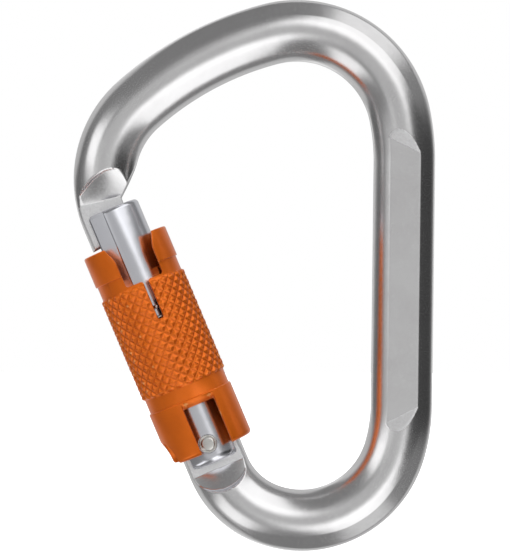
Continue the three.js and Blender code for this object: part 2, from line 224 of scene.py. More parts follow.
def tidy(mesh, sharp_angle):
    """Merges doubled points, points every face outwards and shades smooth up to an angle."""
    work = bmesh.new()
    work.from_mesh(mesh)
    bmesh.ops.remove_doubles(work, verts=work.verts, dist=0.0005 * MM)
    bmesh.ops.dissolve_degenerate(work, edges=work.edges, dist=0.0005 * MM)
    loose = [edge for edge in work.edges if not edge.link_faces]
    bmesh.ops.delete(work, geom=loose, context="EDGES")
    bmesh.ops.recalc_face_normals(work, faces=work.faces)
    work.to_mesh(mesh)
    work.free()
    mesh.shade_smooth()
    mesh.set_sharp_from_angle(angle=math.radians(sharp_angle))
    mesh.update()


def grid_faces(rows, columns, wrap_rows=False, wrap_columns=True):
    """Quads over a grid of points, stored row by row."""
    faces = []
    for i in range(rows if wrap_rows else rows - 1):
        for j in range(columns if wrap_columns else columns - 1):
            next_i, next_j = (i + 1) % rows, (j + 1) % columns
            faces.append(
                (i * columns + j, i * columns + next_j, next_i * columns + next_j, next_i * columns + j)
            )
    return faces


def soft_min(a, b, blend):
    """The smaller of a and b, rounded where they meet."""
    share = np.clip(0.5 + 0.5 * (b - a) / blend, 0, 1)
    return b * (1 - share) + a * share - blend * share * (1 - share)


def rounded_outline(corners, steps=4):
    """A 2-D outline from (x, y, radius) corners, with an arc at each corner that has a radius."""
    count = len(corners)
    points = []
    for i, (x, y, radius) in enumerate(corners):
        here = np.array([x, y], float)
        if radius == 0:
            points.append(here)
            continue
        before = np.array(corners[i - 1][:2], float) - here
        after = np.array(corners[(i + 1) % count][:2], float) - here
        before /= np.linalg.norm(before)
        after /= np.linalg.norm(after)
        half_angle = math.acos(float(np.clip(before @ after, -1, 1))) / 2
        reach = radius / math.tan(half_angle)
        bisector = (before + after) / np.linalg.norm(before + after)
        centre = here + bisector * radius / math.sin(half_angle)
        first = here + before * reach - centre
        last = here + after * reach - centre
        sweep = math.atan2(first[0] * last[1] - first[1] * last[0], float(first @ last))
        for k in range(steps + 1):
            angle = sweep * k / steps
            turn = np.array([[math.cos(angle), -math.sin(angle)], [math.sin(angle), math.cos(angle)]])
            points.append(centre + turn @ first)
    return np.array(points)


def turned_piece(name, corners, sides, place):
    """A piece turned about an axis from a closed (radius, height, rounding) profile.

    Place turns (x, y, height) points into the gate's frame."""
    profile = rounded_outline(corners)
    angles = np.arange(sides) * TAU / sides
    points = [
        (radius * math.cos(angle), radius * math.sin(angle), height)
        for radius, height in profile
        for angle in angles
    ]
    faces = grid_faces(len(profile), sides, wrap_rows=True)
    return mesh_object(name, from_gate(place(np.array(points))), faces)


def tube(name, path, radius, sides):
    """A round wire along a path in the gate's frame, with domed ends."""
    path = np.asarray(path, float)
    tangents = np.gradient(path, axis=0)
    tangents /= np.linalg.norm(tangents, axis=1)[:, None]
    side = np.cross(tangents[0], [0.3, 0.5, 0.8])
    side /= np.linalg.norm(side)
    dome = [(math.sin(a), 1 - math.cos(a)) for a in np.linspace(0.05, math.pi / 2, 6)[:-1]]
    rings = []
    count = len(path)
    for i in range(count):
        side = side - tangents[i] * (side @ tangents[i])
        side /= np.linalg.norm(side)
        other = np.cross(tangents[i], side)
        around = [
            side * math.cos(TAU * k / sides) + other * math.sin(TAU * k / sides) for k in range(sides)
        ]
        around = np.array(around)
        if i == 0:
            for width, depth in dome:
                rings.append(path[0] + tangents[0] * radius * (depth - 1) + around * radius * width)
        rings.append(path[i] + around * radius)
        if i == count - 1:
            for width, depth in reversed(dome):
                rings.append(path[i] - tangents[i] * radius * (depth - 1) + around * radius * width)
    faces = grid_faces(len(rings), sides)
    faces.append(tuple(range(sides)))
    faces.append(tuple(range((len(rings) - 1) * sides, len(rings) * sides)))
    return mesh_object(name, from_gate(np.vstack(rings)), faces)


def cut_away(piece, cutter):
    """Cuts one object's shape out of another and removes the cutter."""
    modifier = piece.modifiers.new("cut", "BOOLEAN")
    modifier.operation = "DIFFERENCE"
    modifier.solver = "EXACT"
    modifier.object = cutter
    apply_modifiers(piece)
    bpy.data.objects.remove(cutter)


def apply_modifiers(piece):
    bpy.context.view_layer.update()
    shown = piece.evaluated_get(bpy.context.evaluated_depsgraph_get())
    finished = bpy.data.meshes.new_from_object(shown)
    piece.modifiers.clear()
    piece.data = finished


# ---- The bar ----------------------------------------------------------------------------------------


def run_length(run):
    return sum(bend * math.radians(turn) for bend, turn in run)


HINGE_TOP = run_length(HINGE_TOP_RUN)
HINGE_LENGTH = HINGE_TOP + SPINE_LENGTH + run_length(HINGE_LOW_RUN)
NOSE_LENGTH = run_length(NOSE_RUN)


def centreline(distance):
    """The bar's centre and outward direction, in XZ, at a distance from the crown.

    It is negative towards the nose and positive over the top bend, down the spine and to the hinge."""
    side = -1 if distance < 0 else 1
    stretches = NOSE_RUN if distance < 0 else HINGE_TOP_RUN + [(None, SPINE_LENGTH)] + HINGE_LOW_RUN
    x, z, dip, left = 0.0, BAR_RADIUS, 0.0, abs(distance)
    for bend, size in stretches:
        length = min(left, size if bend is None else bend * math.radians(size))
        if bend is None:
            x += length * math.cos(dip)
            z -= length * math.sin(dip)
        else:
            after = dip + length / bend
            x += bend * (math.sin(after) - math.sin(dip))
            z -= bend * (math.cos(dip) - math.cos(after))
            dip = after
        left -= length
    return np.array([side * x, 0, z]), np.array([side * math.sin(dip), 0, math.cos(dip)])


def bar_radius(distance, around):
    """The bar's radius at angles round it, less along the long facets on its outer shoulders."""
    share = 0
    for start, full, fading, end in FACET_SPANS:
        share = max(share, min((distance - start) / (full - start), (end - distance) / (end - fading), 1))
    half_angle = FACET_HALF_ANGLE * share**0.7
    off_middle = np.abs(np.arctan2(np.sin(around), np.cos(around))) - FACET_MIDDLE
    chord = BAR_RADIUS * math.cos(half_angle) / np.maximum(np.cos(off_middle), 0.5)
    return soft_min(np.full_like(chord, BAR_RADIUS), chord, 0.03)


def bar_stations():
    """Distances of the bar's rings from the crown, close together where the facets are."""
    spots = [-NOSE_LENGTH]
    spine_start = HINGE_TOP - 8
    spine_end = HINGE_TOP + SPINE_LENGTH
    fine_zones = [
        (-NOSE_LENGTH, -NOSE_LENGTH + 11),
        (spine_start, HINGE_TOP + 1),
        (spine_end - 3, spine_end + 8),
        (HINGE_LENGTH - 6, HINGE_LENGTH),
    ]
    while spots[-1] < HINGE_LENGTH:
        here = spots[-1] + 1e-6
        fine = any(low - 1 <= here <= high for low, high in fine_zones)
        spots.append(min(here + (BAR_FINE_STEP if fine else BAR_STEP), HINGE_LENGTH))
    return spots


def half_moon(past, r, moon):
    """Half the thickness over a plate's half-moon facet: a slight dome with a short, steep lip round it.

    Past is the distance past the fold. A moon is its middle, half width, length, skew and dome's middle."""
    middle, half_width, length, skew, dome_middle = moon
    rise = np.maximum(past, 0)
    slope = HALF_MOON_SLOPE - HALF_MOON_DOME * np.minimum((r - dome_middle) ** 2, half_width**2)
    rim = (length + skew * r) * np.sqrt(np.maximum(1 - ((r - middle) / half_width) ** 2, 0))
    return PLATE_HALF + slope * rise + HALF_MOON_LIP * np.maximum(rise - rim, 0)


def thickness_limit(points):
    """Half the bar's thickness allowed at each point by the plates' facets, and by the panels."""
    r, w = to_gate(points)
    tilt = math.radians(NOSE_FOLD_TILT)
    past_nose = (r - NOSE_FOLD[0]) * math.sin(tilt) + (w - NOSE_FOLD[1]) * math.cos(tilt)
    nose = np.where((w > 30) & (r < 12), half_moon(past_nose, r, NOSE_MOON), NO_LIMIT)
    near_tang = (w < 30) & (r < 14) & (points[:, 2] > -96)
    tang = np.where(near_tang, half_moon(TANG_FOLD - w, r, TANG_MOON), NO_LIMIT)
    outward = points[:, 0] - PANEL_MIDDLE
    over_top = points[:, 2] - (PANEL_TOP - PANEL_END_SLOPE * outward)
    under_bottom = (PANEL_BOTTOM + PANEL_END_SLOPE * outward) - points[:, 2]
    past_panel = np.maximum(np.maximum(over_top, under_bottom), 0)
    panel = np.where(points[:, 0] > 8, PANEL_DEPTH + PANEL_RAMP * past_panel, NO_LIMIT)
    return np.minimum(nose, tang), panel


def tang_top(r):
    """The height of the tang's rounded end, with the step for the plunger."""
    rim = np.sqrt(np.maximum(TANG_RADIUS**2 - r**2, 0))
    return np.where(r > CAM_WALL, np.minimum(rim, CAM_HEIGHT), rim)


def plate_steps(length, count):
    """Shares of the way to a plate's end, close together where its end is rounded."""
    straight = np.linspace(0, 1 - PLATE_FILLET / length, count)[1:]
    curve = 1 - PLATE_FILLET / length * (1 - np.sin(np.linspace(0, math.pi / 2, 6)[1:]))
    return np.concatenate([straight, curve])


def end_rings(distance, end_height, around, count):
    """Rings from the last bend to a plate's end, whose height is a function of r."""
    centre, _ = centreline(distance)
    centre_r, start = to_gate(centre[None])
    lift = BAR_RADIUS * np.sin(around)
    r = centre_r[0] - BAR_RADIUS * np.cos(around)
    if distance < 0:
        r = soft_min(r, np.full_like(r, NOSE_EDGE), 0.3)
    rings = []
    length = abs(end_height(np.array([0.0]))[0] - start[0])
    for share in plate_steps(length, count):
        w = start[0] + (end_height(r) - start[0]) * share
        left = (1 - share) * length
        inset = 0
        if left < PLATE_FILLET:
            inset = PLATE_FILLET - math.sqrt(PLATE_FILLET**2 - (PLATE_FILLET - left) ** 2)
        y = np.sign(lift) * soft_min(np.abs(lift), np.full_like(lift, PLATE_HALF), PLATE_EDGE)
        y *= (PLATE_HALF - inset) / PLATE_HALF
        rings.append(from_gate(np.stack([r, y, w], axis=1)))
    return rings


def bar_rings(around):
    rings = []
    for distance in bar_stations():
        centre, outward = centreline(distance)
        radius = bar_radius(distance, around)
        ring = centre + np.outer(radius * np.cos(around), outward)
        ring[:, 1] = radius * np.sin(around)
        rings.append(ring)
    points = np.array(rings)
    flat = points.reshape(-1, 3)
    r, w = to_gate(flat)
    shoulder = NOSE_EDGE + NOSE_SHOULDER_SLOPE * np.maximum(w - NOSE_SHOULDER, 0)
    near_nose = (w > 40) & (w < 62) & (r < 12)
    moved = np.where(near_nose, soft_min(r, shoulder, 0.35), r) - r
    flat += moved[:, None] * ACROSS_GATE
    plates, panels = thickness_limit(flat)
    height = np.abs(flat[:, 1])
    height = soft_min(height, panels, PANEL_EDGE)
    height = soft_min(height, plates, PLATE_EDGE)
    flat[:, 1] = np.sign(flat[:, 1]) * height
    return list(flat.reshape(points.shape))


def mark_forged(mesh):
    """Marks the plates and the panels' ramps, which keep the grain of the forging die."""
    points = np.empty(3 * len(mesh.vertices))
    mesh.vertices.foreach_get("co", points)
    points = points.reshape(-1, 3) / MM
    height = np.abs(points[:, 1])
    plates, panels = thickness_limit(points)
    on_plate = (plates < PLATE_HALF + 0.03) & (height > PLATE_HALF - 0.3)
    on_ramp = (panels > PANEL_DEPTH + 0.01) & (np.abs(height - panels) < 0.06)
    marks = mesh.attributes.new("forged", "FLOAT", "POINT")
    marks.data.foreach_set("value", np.where(on_plate | on_ramp, 1.0, 0.0))


def bar_piece():
    sides = BAR_SIDES
    around = np.arange(sides) * TAU / sides
    nose = end_rings(-NOSE_LENGTH, lambda r: np.sqrt(NOSE_SWEEP**2 - r**2), around, 22)
    tang = end_rings(HINGE_LENGTH, tang_top, around, 50)
    rings = nose[::-1] + bar_rings(around) + tang
    faces = grid_faces(len(rings), sides)
    last = (len(rings) - 1) * sides
    for start in (0, last):
        for i in range(sides // 2):
            corners = (i, i + 1, (sides - i - 1) % sides, (sides - i) % sides)
            unique = list(dict.fromkeys(corners))
            if len(unique) > 2:
                faces.append(tuple(start + corner for corner in unique))
    piece = mesh_object("bar", np.vstack(rings), faces, 40)
    mark_forged(piece.data)
    return piece


# ---- The gate rod -----------------------------------------------------------------------------------


def gate_section():
    """The rod's outline, with points exactly where the slots' walls meet it."""
    corner = math.asin(SLOT_HALF / GATE_RADIUS)
    narrow, wide = 14, 30
    angles = np.concatenate([
        np.linspace(-corner, corner, narrow, endpoint=False),
        np.linspace(corner, math.pi - corner, wide, endpoint=False),
        np.linspace(math.pi - corner, math.pi + corner, narrow, endpoint=False),
        np.linspace(math.pi + corner, TAU - corner, wide, endpoint=False),
    ])
    outline = GATE_RADIUS * np.stack([np.cos(angles), np.sin(angles)], axis=1)
    inner_high = narrow
    outer_high = narrow + wide
    outer_low = outer_high + narrow
    return outline, inner_high, outer_high, outer_low


def gate_piece():
    outline, inner_high, outer_high, outer_low = gate_section()
    sides = len(outline)
    near_rivet = list(np.linspace(-2.9, 2.9, 17))
    levels = [GATE_BOTTOM] + near_rivet + [HINGE_SLOT_TOP, TOP_SLOT_BOTTOM, GATE_TOP]
    slot_top = levels.index(HINGE_SLOT_TOP)
    slot_bottom = levels.index(TOP_SLOT_BOTTOM)
    points = [(x, y, height) for height in levels for x, y in outline]
    web = len(points)
    for height in (TOP_SLOT_BOTTOM, GATE_TOP):
        points += [(TOP_SLOT_EDGE, SLOT_HALF, height), (TOP_SLOT_EDGE, -SLOT_HALF, height)]

    def at(level, side):
        return level * sides + side % sides

    faces = []
    for level in range(len(levels) - 1):
        for side in range(sides):
            in_slot_inner = side < inner_high
            in_slot_outer = outer_high <= side < outer_low
            if level < slot_top and (in_slot_inner or in_slot_outer):
                continue
            if level >= slot_bottom and in_slot_outer:
                continue
            faces.append(
                (at(level, side), at(level, side + 1), at(level + 1, side + 1), at(level + 1, side))
            )
        if level < slot_top:
            for one, other in ((inner_high, outer_high), (outer_low, sides)):
                faces.append((at(level, one), at(level, other), at(level + 1, other), at(level + 1, one)))
    faces.append(tuple(at(0, side) for side in range(inner_high, outer_high + 1)))
    faces.append(tuple(at(0, side) for side in range(outer_low, sides + 1)))
    ceiling = list(range(0, inner_high + 1)) + list(range(outer_high, outer_low + 1))
    faces.append(tuple(at(slot_top, side) for side in ceiling))
    low_high, low_low, top_high, top_low = web, web + 1, web + 2, web + 3
    floor = [at(slot_bottom, side) for side in range(outer_high, outer_low + 1)]
    faces.append(tuple(floor + [low_low, low_high]))
    top = len(levels) - 1
    rim = [at(top, side) for side in range(outer_low, sides + outer_high + 1)]
    faces.append(tuple(rim + [top_high, top_low]))
    faces.append((at(slot_bottom, outer_high), low_high, top_high, at(top, outer_high)))
    faces.append((at(slot_bottom, outer_low), low_low, top_low, at(top, outer_low)))
    faces.append((low_high, low_low, top_low, top_high))
    piece = mesh_object("gate_rod", from_gate(points), faces)
    bevel_gate(piece)
    for cutter in gate_cutters():
        cut_away(piece, cutter)
    tidy(piece.data, 32)
    return piece


def bevel_gate(piece):
    """Rounds the rod's ends broadly and the slots' edges finely."""
    work = bmesh.new()
    work.from_mesh(piece.data)
    weight = work.edges.layers.float.new("bevel_weight_edge")
    for edge in work.edges:
        if len(edge.link_faces) < 2 or edge.calc_face_angle() < math.radians(40):
            continue
        ends = np.array([list(vertex.co) for vertex in edge.verts]) / MM
        r, w = to_gate(ends)
        reach = np.hypot(r, ends[:, 1])
        on_end = np.all((w > GATE_TOP - 0.1) | (w < GATE_BOTTOM + 0.1))
        on_rim = on_end and np.all(reach > GATE_RADIUS - 0.05) and abs(w[0] - w[1]) < 0.01
        is_chord = np.allclose(np.abs(ends[:, 1]), SLOT_HALF, atol=0.01)
        at_foot = w[0] < 0
        edge[weight] = (1 if at_foot else 0.7) if on_rim and not is_chord else 0.25
    work.to_mesh(piece.data)
    work.free()
    modifier = piece.modifiers.new("bevel", "BEVEL")
    modifier.limit_method = "WEIGHT"
    modifier.width = GATE_BEVEL * MM
    modifier.segments = 5
    modifier.use_clamp_overlap = False
    apply_modifiers(piece)


def gate_cutters():
    """The flats of the outer finger, the rivet's hole and seats, the plunger's bore and the ring's groove."""

    def along(points):
        return points + np.array([PLUNGER_R, 0, 0])

    past_rod = 9
    hole = [(0, -past_rod, 0), (RIVET_SEAT, -past_rod, 0), (RIVET_SEAT, -RIVET_SEAT_DEPTH, 0)]
    hole += [(RIVET_HOLE, -RIVET_SEAT_DEPTH, 0), (RIVET_HOLE, RIVET_SEAT_DEPTH, 0)]
    hole += [(RIVET_SEAT, RIVET_SEAT_DEPTH, 0), (RIVET_SEAT, past_rod, 0), (0, past_rod, 0)]
    bore_bottom = HINGE_SLOT_TOP - 1
    bore = [(0, bore_bottom, 0), (PLUNGER_BORE, bore_bottom, 0)]
    bore += [(PLUNGER_BORE, PLUNGER_BORE_TOP, 0), (0, PLUNGER_BORE_TOP, 0)]
    floor, bottom, top = RING_GROOVE
    groove = [(floor, bottom, 0), (7, bottom, 0), (7, top, 0), (floor, top, 0)]
    return [
        finger_cutter("front_finger", -1),
        finger_cutter("back_finger", 1),
        turned_piece("rivet_seat", hole, 64, laid_through),
        turned_piece("plunger_bore", bore, 32, along),
        turned_piece("ring_groove", groove, 88, lambda points: points),
    ]


def laid_through(points):
    """Points turned from up the gate to through the thickness."""
    return np.stack([points[:, 0], points[:, 2], points[:, 1]], axis=1)


def finger_cutter(name, side):
    """A cutter that flattens the finger at the rod's outer top, on the front (-1) or the back (1)."""
    above = 8
    corners = [(FINGER_EDGE, above, 0), (FINGER_EDGE, FINGER_DEPTH, 0.35), (-7, 3.5, 0), (-7, above, 0)]
    section = rounded_outline(corners, 6)
    levels = [(FINGER_BOTTOM, 0), (50.3, 0), (50.8, 0.05), (51.35, 0.15), (53, 0.15)]
    rings = []
    for height, drop in levels:
        lower = section[:, 1] - np.where(section[:, 1] < above - 0.1, drop, 0)
        rings.append(np.stack([section[:, 0], side * lower, np.full(len(section), height)], axis=1))
    count = len(section)
    faces = grid_faces(len(rings), count)
    faces += [tuple(range(count)), tuple(range((len(rings) - 1) * count, len(rings) * count))]
    return mesh_object(name, from_gate(np.vstack(rings)), faces)


# ---- The locking sleeve -----------------------------------------------------------------------------


def sleeve_profile():
    """The sleeve's closed profile, with close points over the knurl."""
    outer_low = [
        (SLEEVE_BORE, SLEEVE_BOTTOM, 0.2),
        (COLLAR_RADIUS, SLEEVE_BOTTOM, 0.8),
        (COLLAR_RADIUS, COLLAR_TOP, 0.15),
        (NECK_RADIUS, COLLAR_TOP, 0.1),
    ]
    outer_high = [
        (NECK_RADIUS, EARS_BOTTOM, 0.1),
        (COLLAR_RADIUS, EARS_BOTTOM, 0.15),
        (COLLAR_RADIUS, SLEEVE_TOP, 0.35),
        (SLEEVE_BORE, SLEEVE_TOP, 0.15),
    ]
    inner = [
        (SLEEVE_BORE, LAND_TOP, 0),
        (LAND_BORE, LAND_TOP, 0.2),
        (LAND_BORE, LAND_BOTTOM, 0.2),
        (SLEEVE_BORE, LAND_BOTTOM, 0),
    ]
    heights = np.arange(KNURL_BOTTOM - 0.5, KNURL_TOP + 0.5, 0.15)
    knurl = [(NECK_RADIUS, height, 0) for height in heights]
    return rounded_outline(outer_low + knurl + outer_high + inner, 5)


def knurl_height(angle, height):
    """A diamond knurl: pyramids left between two crossing sets of grooves, fading at both ends."""
    turn = angle * KNURL_STARTS / TAU
    rise = height / KNURL_PITCH
    one = np.abs(((turn + rise) % 1) - 0.5) * 2
    other = np.abs(((turn - rise) % 1) - 0.5) * 2
    pyramid = np.minimum(1 - one, 1 - other)
    pyramid = np.minimum(pyramid * 1.25, 0.85) / 0.85
    into = np.minimum(height - KNURL_BOTTOM, KNURL_TOP - height)
    band = np.clip(into / 0.35 + 0.5, 0, 1)
    return band * (KNURL_RADIUS - NECK_RADIUS - KNURL_DEPTH * (1 - pyramid))


def window_cutter(name, outline, facing, top_slant=0):
    """A cutter for the sleeve's wall that faces one way, and flares to round the outer edge.

    The outline is in (across, w). Facing is the angle that the front is turned by."""
    outline = np.asarray(outline, float)
    edge = np.roll(outline, -1, axis=0) - np.roll(outline, 1, axis=0)
    normal = np.stack([edge[:, 1], -edge[:, 0]], axis=1)
    normal /= np.linalg.norm(normal, axis=1)[:, None]
    area = np.sum(outline[:, 0] * np.roll(outline[:, 1], -1) - np.roll(outline[:, 0], -1) * outline[:, 1])
    normal *= np.sign(area)
    highest = outline[:, 1].max()
    rings = []
    for radius in WALL_LAYERS:
        flare = 0.26 * np.clip((radius - 8.45) / 0.5, 0, 1) ** 2
        flare += 0.15 * np.clip((7.9 - radius) / 0.3, 0, 1)
        layer = outline + normal * flare
        rise = top_slant * (np.clip(radius, 7.3, 9.3) - SLEEVE_BORE - 0.6)
        layer[:, 1] += rise * np.clip((outline[:, 1] - highest) / 4 + 1, 0, 1)
        depth = np.sqrt(np.maximum(radius**2 - layer[:, 0] ** 2, 0))
        rings.append(np.stack([layer[:, 0], -np.clip(depth, 3.5, 10.6), layer[:, 1]], axis=1))
    sides = len(outline)
    faces = grid_faces(len(rings), sides)
    faces.append(tuple(range(sides)))
    faces.append(tuple(range((len(rings) - 1) * sides, len(rings) * sides)))
    return mesh_object(name, from_gate(turned_about_gate(np.vstack(rings), facing)), faces)


def dense(points, step=0.35):
    """A closed outline with extra points, so that it can follow a round wall."""
    result = []
    for i in range(len(points)):
        start, end = points[i], points[(i + 1) % len(points)]
        count = max(1, round(float(np.linalg.norm(end - start)) / step))
        result += [start + (end - start) * k / count for k in range(count)]
    return np.array(result)


def sleeve_cutters():
    over = SLEEVE_TOP + 1.5
    under = -4
    top = [(-SLIT_HALF, SLIT_BOTTOM, 0.3), (SLIT_HALF, SLIT_BOTTOM, 0.3)]
    top += [(SLIT_HALF, TOP_CUT_BOTTOM, 0.5), (TOP_CUT_HALF, TOP_CUT_BOTTOM, 0.5)]
    top += [(TOP_CUT_HALF, TOP_CUT_FLARE, 4), (5.7, over, 0), (-5.7, over, 0)]
    top += [(-TOP_CUT_HALF, TOP_CUT_FLARE, 4), (-TOP_CUT_HALF, TOP_CUT_BOTTOM, 0.5)]
    top += [(-SLIT_HALF, TOP_CUT_BOTTOM, 0.5)]
    window = [(-WINDOW_HALF, under, 0), (WINDOW_HALF, under, 0)]
    window += [(WINDOW_HALF, WINDOW_TOP, 0.4), (-WINDOW_HALF, WINDOW_TOP, 0.4)]
    window = dense(rounded_outline(window))
    arch = [
        (ARCH_RADIUS * math.cos(a), ARCH_HEIGHT + ARCH_RADIUS * math.sin(a))
        for a in np.linspace(0, TAU, 48, endpoint=False)
    ]
    front = SLEEVE_TURN + WINDOW_TURN
    return [
        window_cutter("top_cut", dense(rounded_outline(top)), SLEEVE_TURN),
        window_cutter("front_window", window, front, 1),
        window_cutter("back_window", window, front + math.pi, 1),
        window_cutter("arch", arch, SLEEVE_TURN - math.pi / 2),
        stop_groove(),
    ]


def stop_groove():
    """The groove in the sleeve's land that the stop pin runs in."""
    start = math.pi / 2 - STOP_SPARE
    end = math.pi / 2 + UNLOCK_TURN + STOP_SPARE
    section = [(5.6, 32.9), (7.4, 32.9), (7.4, 35.1), (5.6, 35.1)]
    angles = np.linspace(start, end, 40)
    points = [(rho * math.cos(a), rho * math.sin(a), w) for a in angles for rho, w in section]
    faces = grid_faces(len(angles), 4)
    faces += [(0, 1, 2, 3), tuple(4 * (len(angles) - 1) + k for k in range(4))]
    return mesh_object("stop_groove", from_gate(points), faces)


def sleeve_piece():
    sides = 350
    profile = sleeve_profile()
    angles = np.arange(sides) * TAU / sides
    radius = np.repeat(profile[:, 0:1], sides, axis=1)
    height = np.repeat(profile[:, 1:2], sides, axis=1)
    angle = np.repeat(angles[None, :], len(profile), axis=0)
    in_band = (height > KNURL_BOTTOM - 0.3) & (height < KNURL_TOP + 0.3) & (radius > 8.5)
    radius = radius + np.where(in_band, knurl_height(angle, height), 0)
    points = np.stack([radius * np.cos(angle), radius * np.sin(angle), height], axis=2).reshape(-1, 3)
    faces = grid_faces(len(profile), sides, wrap_rows=True)
    piece = mesh_object("knurled_sleeve", from_gate(points), faces)
    for cutter in sleeve_cutters():
        cut_away(piece, cutter)
    tidy(piece.data, 38)
    return piece


# ---- Small pieces -----------------------------------------------------------------------------------


def rivet_piece():
    """A rivet with two formed heads, each a flat dome with a softly rounded rim."""
    head = [(0, 5.72, 0), (1.3, 5.66, 0.5), (1.48, 5.42, 0.05), (1.6, 5.42, 0.05), (1.66, 5.62, 0.05)]
    head += [(1.84, 5.56, 0.08), (1.84, 4.95, 0), (1.5, 4.95, 0)]
    profile = [(radius, -height, rounding) for radius, height, rounding in head] + head[::-1]
    return turned_piece("formed_rivet", profile, 64, laid_through)


def plunger_piece():
    profile = [(0, 3.9, 0), (0.55, 3.98, 0.5), (1.1, 4.75, 0.6), (1.1, 11, 0.2), (0, 11, 0)]
    return turned_piece("domed_plunger", profile, 40, lambda points: points + np.array([PLUNGER_R, 0, 0]))


def stop_pin_piece():
    profile = [(0, 3.6, 0), (0.8, 3.6, 0.15), (0.8, 7.1, 0.2), (0, 7.1, 0)]

    def place(points):
        return laid_through(points) + np.array([0, 0, STOP_PIN_HEIGHT])

    return turned_piece("turn_stop_pin", profile, 32, place)


def ring_piece():
    """The split ring: a rounded section carried round the gate, with a gap on the outer side."""
    section = rounded_outline([(5.6, 10.6, 0.12), (7.4, 10.6, 0.2), (7.4, 11.4, 0.2), (5.6, 11.4, 0.12)], 3)
    half_gap = 0.125
    angles = np.linspace(-math.pi + half_gap, math.pi - half_gap, 120)
    points = [(rho * math.cos(a), rho * math.sin(a), w) for a in angles for rho, w in section]
    count = len(section)
    faces = grid_faces(len(angles), count)
    faces += [tuple(range(count)), tuple((len(angles) - 1) * count + k for k in range(count))]
    return mesh_object("split_ring", from_gate(points), faces)


def smoothed(path, passes):
    path = np.array(path)
    for _ in range(passes):
        path[1:-1] = (path[:-2] + 2 * path[1:-1] + path[2:]) / 4
    return path


def helix(radius, bottom, top, turns, steps):
    share = np.linspace(0, 1, steps)
    angle = TAU * turns * share
    height = bottom + (top - bottom) * share
    return np.stack([radius * np.cos(angle), radius * np.sin(angle), height], axis=1)


def sleeve_spring_piece():
    """The torsion spring, with a foot in the gate and a tail in the sleeve's slit."""
    turns = COIL_TURNS + (math.degrees(SLEEVE_TURN) - 90) / 360
    coil = helix(COIL_RADIUS, COIL_BOTTOM, COIL_TOP, turns, 900)
    step = float(np.linalg.norm(coil[1] - coil[0]))
    foot = [(rho, 0, COIL_BOTTOM) for rho in np.arange(4.6, COIL_RADIUS - step, step)]
    end = SLEEVE_TURN - math.pi / 2
    reaches = np.arange(COIL_RADIUS + step, 8.5, step)
    tail = [(rho * math.cos(end), rho * math.sin(end), COIL_TOP) for rho in reaches]
    path = smoothed(np.vstack([foot, coil, tail]), 8)
    return tube("torsion_spring", path, COIL_WIRE, 14)


def gate_spring_piece():
    coil = helix(CLOSING_RADIUS, CLOSING_BOTTOM, CLOSING_TOP, CLOSING_TURNS, 360)
    return tube("closing_spring", coil + np.array([PLUNGER_R, 0, 0]), CLOSING_WIRE, 10)


# ---- Materials --------------------------------------------------------------------------------------


class Nodes:
    """A short way to make a node material around one Principled shader."""

    def __init__(self, name):
        self.material = bpy.data.materials.new(name)
        self.material.use_nodes = True
        self.tree = self.material.node_tree
        self.shader = self.tree.nodes["Principled BSDF"]
        self.place = self.add("ShaderNodeTexCoord").outputs["Object"]

    def add(self, kind, inputs=None, **settings):
        node = self.tree.nodes.new(kind)
        for key, value in settings.items():
            setattr(node, key, value)
        for key, value in (inputs or {}).items():
            if isinstance(value, bpy.types.NodeSocket):
                self.tree.links.new(value, node.inputs[key])
            else:
                node.inputs[key].default_value = value
        return node

    def stretched(self, scale, rotation=(0, 0, 0)):
        """Object coordinates in millimetres, stretched."""
        inputs = {"Vector": self.place, "Scale": tuple(1000 * value for value in scale), "Rotation": rotation}
        return self.add("ShaderNodeMapping", inputs).outputs["Vector"]

    def noise(self, scale, detail=4, roughness=0.55, stretch=(1, 1, 1), rotation=(0, 0, 0)):
        inputs = {
            "Vector": self.stretched(stretch, rotation),
            "Scale": scale,
            "Detail": detail,
            "Roughness": roughness,
        }
        return self.add("ShaderNodeTexNoise", inputs).outputs["Fac"]

    def spread(self, value, low, high, start=0.3, stop=0.7):
        """A 0 to 1 value spread between two others."""
        inputs = {"Value": value, "From Min": start, "From Max": stop, "To Min": low, "To Max": high}
        return self.add("ShaderNodeMapRange", inputs).outputs["Result"]

    def mix(self, share, one, other):
        node = self.add("ShaderNodeMix", data_type="RGBA")
        self.tree.links.new(share, node.inputs["Factor"])
        for key, value in (("A", one), ("B", other)):
            socket = [s for s in node.inputs if s.name == key and s.type == "RGBA"][0]
            if isinstance(value, bpy.types.NodeSocket):
                self.tree.links.new(value, socket)
            else:
                socket.default_value = (*value, 1)
        return [s for s in node.outputs if s.type == "RGBA"][0]

    def times(self, one, other):
        return self.add("ShaderNodeMath", {0: one, 1: other}, operation="MULTIPLY").outputs[0]

    def add_up(self, one, other):
        return self.add("ShaderNodeMath", {0: one, 1: other}, operation="ADD").outputs[0]

    def link(self, value, name):
        self.tree.links.new(value, self.shader.inputs[name])

    def bump(self, height, strength, distance, before=None):
        inputs = {"Height": height, "Strength": strength, "Distance": distance * MM}
        if before is not None:
            inputs["Normal"] = before
        return self.add("ShaderNodeBump", inputs).outputs["Normal"]


FORGED_ROUGHNESS = 0.22  # how much rougher forged metal is than polished


